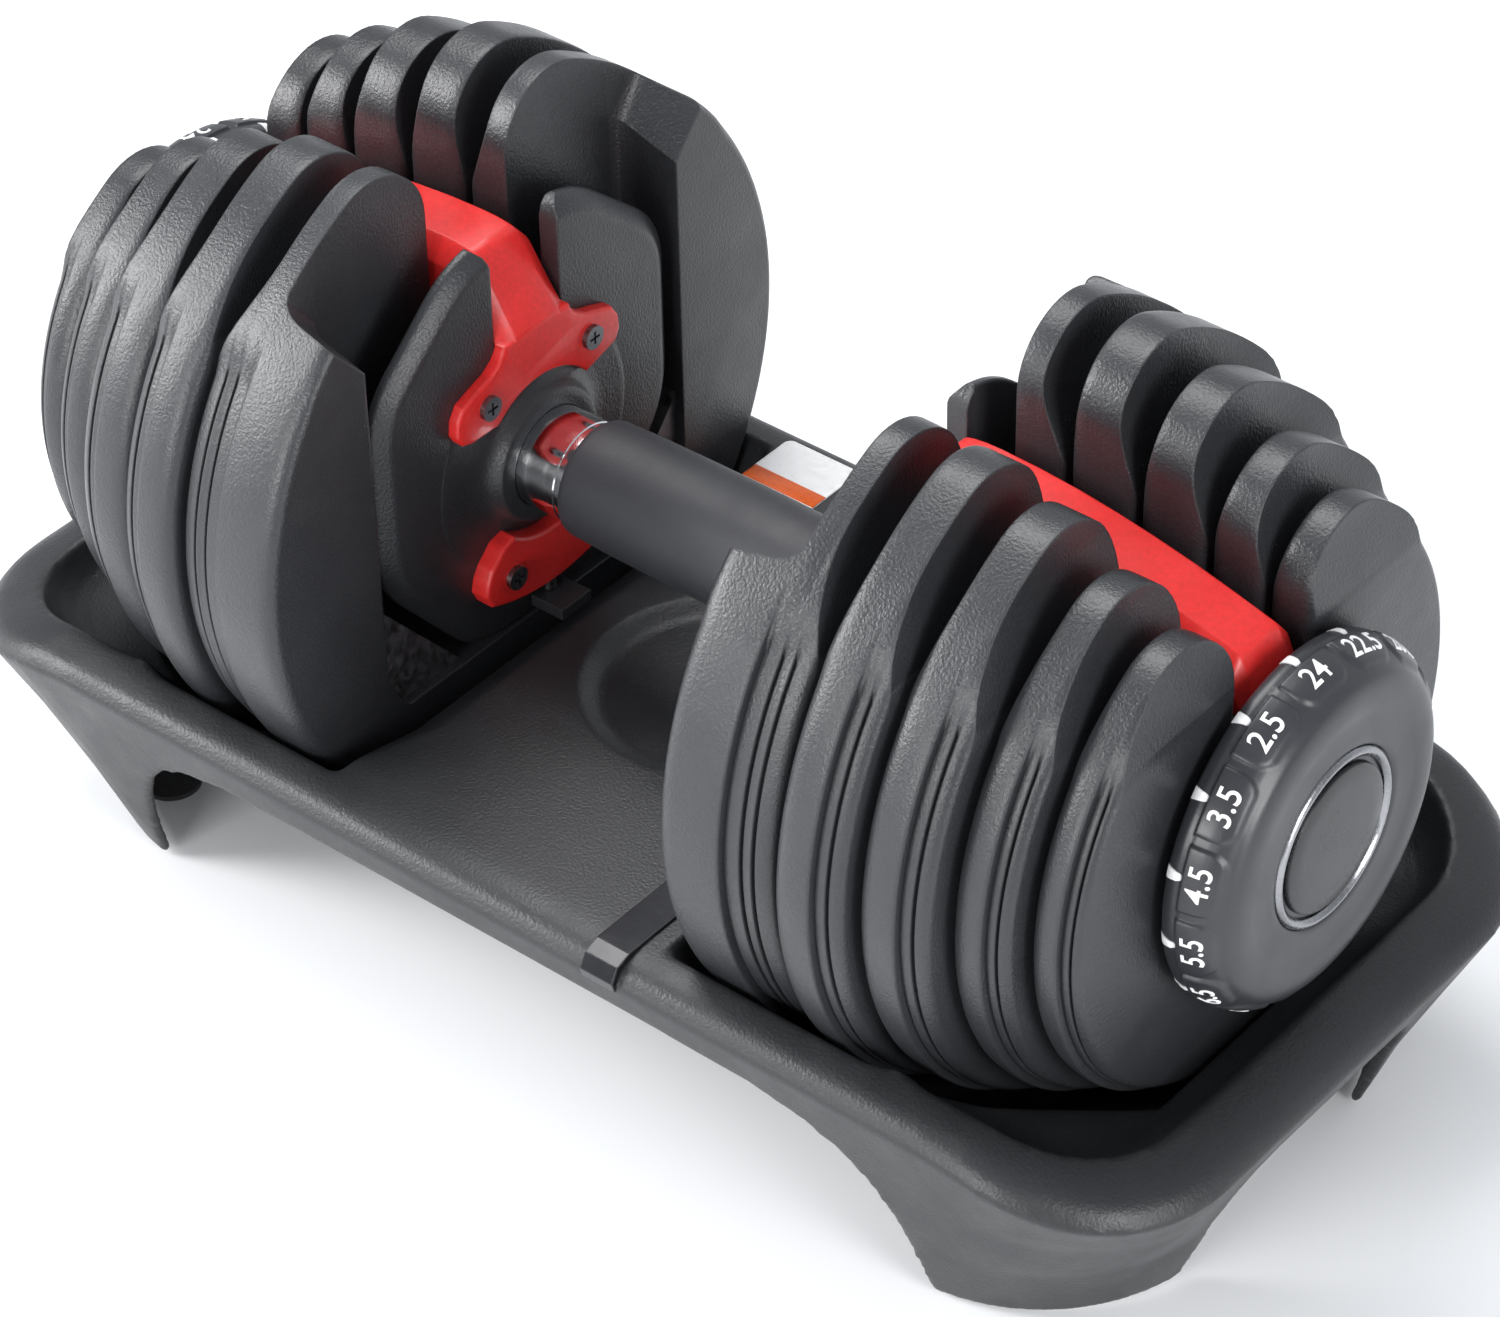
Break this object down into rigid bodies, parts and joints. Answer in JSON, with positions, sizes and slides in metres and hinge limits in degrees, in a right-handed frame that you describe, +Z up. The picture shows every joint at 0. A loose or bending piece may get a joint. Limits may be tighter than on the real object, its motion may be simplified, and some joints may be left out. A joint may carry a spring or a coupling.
{
  "type": "adjustable dumbbell",
  "caption": "Selectorised adjustable dumbbell with turning weight dials and nested plates, resting in a moulded storage tray.",
  "frame": {"origin": "on the ground under the middle of the handle, at the centre of the tray's footprint", "axes": "+X along the handle towards the dial nearest the camera in the picture, +Z up"},
  "size_m": [0.4198, 0.2156, 0.228],
  "materials": {
    "tray_plastic": "fine moulded grain",
    "charcoal_plastic": "satin moulded",
    "black_plastic": "satin",
    "strip_gloss": "gloss",
    "red_plastic": "satin gloss",
    "grip_rubber": "soft matte",
    "pad_rubber": "matte",
    "label_white": "printed film",
    "bar_chrome": "polished",
    "badge_metal": "brushed",
    "zinc_steel": "plated",
    "core_steel": "bare"
  },
  "bodies": {
    "tray": {"tray_left_shell": "tray_plastic", "tray_right_shell": "tray_plastic", "joint_strip": "strip_gloss", "foot_pads": "pad_rubber", "shell_screws": "zinc_steel", "label_plate": "label_white", "release_tabs": "black_plastic"},
    "handle": {"handle_grip": "grip_rubber", "handle_bar": "bar_chrome", "axle": "zinc_steel", "inner_disc_left": "charcoal_plastic", "inner_disc_right": "charcoal_plastic", "bridge_left": "red_plastic", "bridge_right": "red_plastic", "lower_bracket_left": "red_plastic", "lower_bracket_right": "red_plastic", "bracket_screws": "zinc_steel", "end_bolt_left": "zinc_steel", "end_bolt_right": "zinc_steel", "lock_spring_left": "zinc_steel", "lock_spring_right": "zinc_steel"},
    "selector_dial_left": {"dial_left": "charcoal_plastic", "dial_badge_left": "badge_metal", "selector_sleeve_left": "black_plastic", "selector_left_1": "black_plastic", "selector_left_2": "black_plastic", "selector_left_3": "black_plastic", "selector_left_4": "black_plastic", "selector_left_5": "black_plastic"},
    "lock_left": {"lock_pin_left": "zinc_steel"},
    "weight_left_1": {"plate_left_1": "charcoal_plastic", "plate_core_left_1": "core_steel"},
    "weight_left_2": {"plate_left_2": "charcoal_plastic", "plate_core_left_2": "core_steel"},
    "weight_left_3": {"plate_left_3": "charcoal_plastic", "plate_core_left_3": "core_steel"},
    "weight_left_4": {"plate_left_4": "charcoal_plastic", "plate_core_left_4": "core_steel"},
    "weight_left_5": {"plate_left_5": "charcoal_plastic", "plate_core_left_5": "core_steel"},
    "selector_dial_right": {"dial_right": "charcoal_plastic", "dial_badge_right": "badge_metal", "selector_sleeve_right": "black_plastic", "selector_right_1": "black_plastic", "selector_right_2": "black_plastic", "selector_right_3": "black_plastic", "selector_right_4": "black_plastic", "selector_right_5": "black_plastic"},
    "lock_right": {"lock_pin_right": "zinc_steel"},
    "weight_right_1": {"plate_right_1": "charcoal_plastic", "plate_core_right_1": "core_steel"},
    "weight_right_2": {"plate_right_2": "charcoal_plastic", "plate_core_right_2": "core_steel"},
    "weight_right_3": {"plate_right_3": "charcoal_plastic", "plate_core_right_3": "core_steel"},
    "weight_right_4": {"plate_right_4": "charcoal_plastic", "plate_core_right_4": "core_steel"},
    "weight_right_5": {"plate_right_5": "charcoal_plastic", "plate_core_right_5": "core_steel"}
  },
  "joints": [
    {"name": "handle_lift", "type": "slide", "parent": "tray", "child": "handle", "axis": [0, 0, 1], "range_m": [0, 0.25]},
    {"name": "dial_turn_left", "type": "hinge", "parent": "handle", "child": "selector_dial_left", "pos_m": [-0.19, 0, 0.131], "axis": [-1, 0, 0], "continuous": true},
    {"name": "lock_press_left", "type": "slide", "parent": "handle", "child": "lock_left", "axis": [0, 0, 1], "range_m": [0, 0.004], "stiffness_N_per_m": 300, "springref_m": -0.002, "deforming": ["lock_spring_left"]},
    {"name": "weight_lift_left_1", "type": "slide", "parent": "tray", "child": "weight_left_1", "axis": [0, 0, 1], "range_m": [0, 0.25]},
    {"name": "weight_lift_left_2", "type": "slide", "parent": "tray", "child": "weight_left_2", "axis": [0, 0, 1], "range_m": [0, 0.25]},
    {"name": "weight_lift_left_3", "type": "slide", "parent": "tray", "child": "weight_left_3", "axis": [0, 0, 1], "range_m": [0, 0.25]},
    {"name": "weight_lift_left_4", "type": "slide", "parent": "tray", "child": "weight_left_4", "axis": [0, 0, 1], "range_m": [0, 0.25]},
    {"name": "weight_lift_left_5", "type": "slide", "parent": "tray", "child": "weight_left_5", "axis": [0, 0, 1], "range_m": [0, 0.25]},
    {"name": "dial_turn_right", "type": "hinge", "parent": "handle", "child": "selector_dial_right", "pos_m": [0.19, 0, 0.131], "axis": [1, 0, 0], "continuous": true},
    {"name": "lock_press_right", "type": "slide", "parent": "handle", "child": "lock_right", "axis": [0, 0, 1], "range_m": [0, 0.004], "stiffness_N_per_m": 300, "springref_m": -0.002, "deforming": ["lock_spring_right"]},
    {"name": "weight_lift_right_1", "type": "slide", "parent": "tray", "child": "weight_right_1", "axis": [0, 0, 1], "range_m": [0, 0.25]},
    {"name": "weight_lift_right_2", "type": "slide", "parent": "tray", "child": "weight_right_2", "axis": [0, 0, 1], "range_m": [0, 0.25]},
    {"name": "weight_lift_right_3", "type": "slide", "parent": "tray", "child": "weight_right_3", "axis": [0, 0, 1], "range_m": [0, 0.25]},
    {"name": "weight_lift_right_4", "type": "slide", "parent": "tray", "child": "weight_right_4", "axis": [0, 0, 1], "range_m": [0, 0.25]},
    {"name": "weight_lift_right_5", "type": "slide", "parent": "tray", "child": "weight_right_5", "axis": [0, 0, 1], "range_m": [0, 0.25]}
  ],
  "couplings": [
    {"joint": "weight_lift_left_1", "follows": "handle_lift", "ratio": 1},
    {"joint": "weight_lift_left_2", "follows": "handle_lift", "ratio": 1},
    {"joint": "weight_lift_left_3", "follows": "handle_lift", "ratio": 1},
    {"joint": "weight_lift_left_4", "follows": "handle_lift", "ratio": 1},
    {"joint": "weight_lift_left_5", "follows": "handle_lift", "ratio": 1},
    {"joint": "weight_lift_right_1", "follows": "handle_lift", "ratio": 1},
    {"joint": "weight_lift_right_2", "follows": "handle_lift", "ratio": 1},
    {"joint": "weight_lift_right_3", "follows": "handle_lift", "ratio": 1},
    {"joint": "weight_lift_right_4", "follows": "handle_lift", "ratio": 1},
    {"joint": "weight_lift_right_5", "follows": "handle_lift", "ratio": 1}
  ]
}
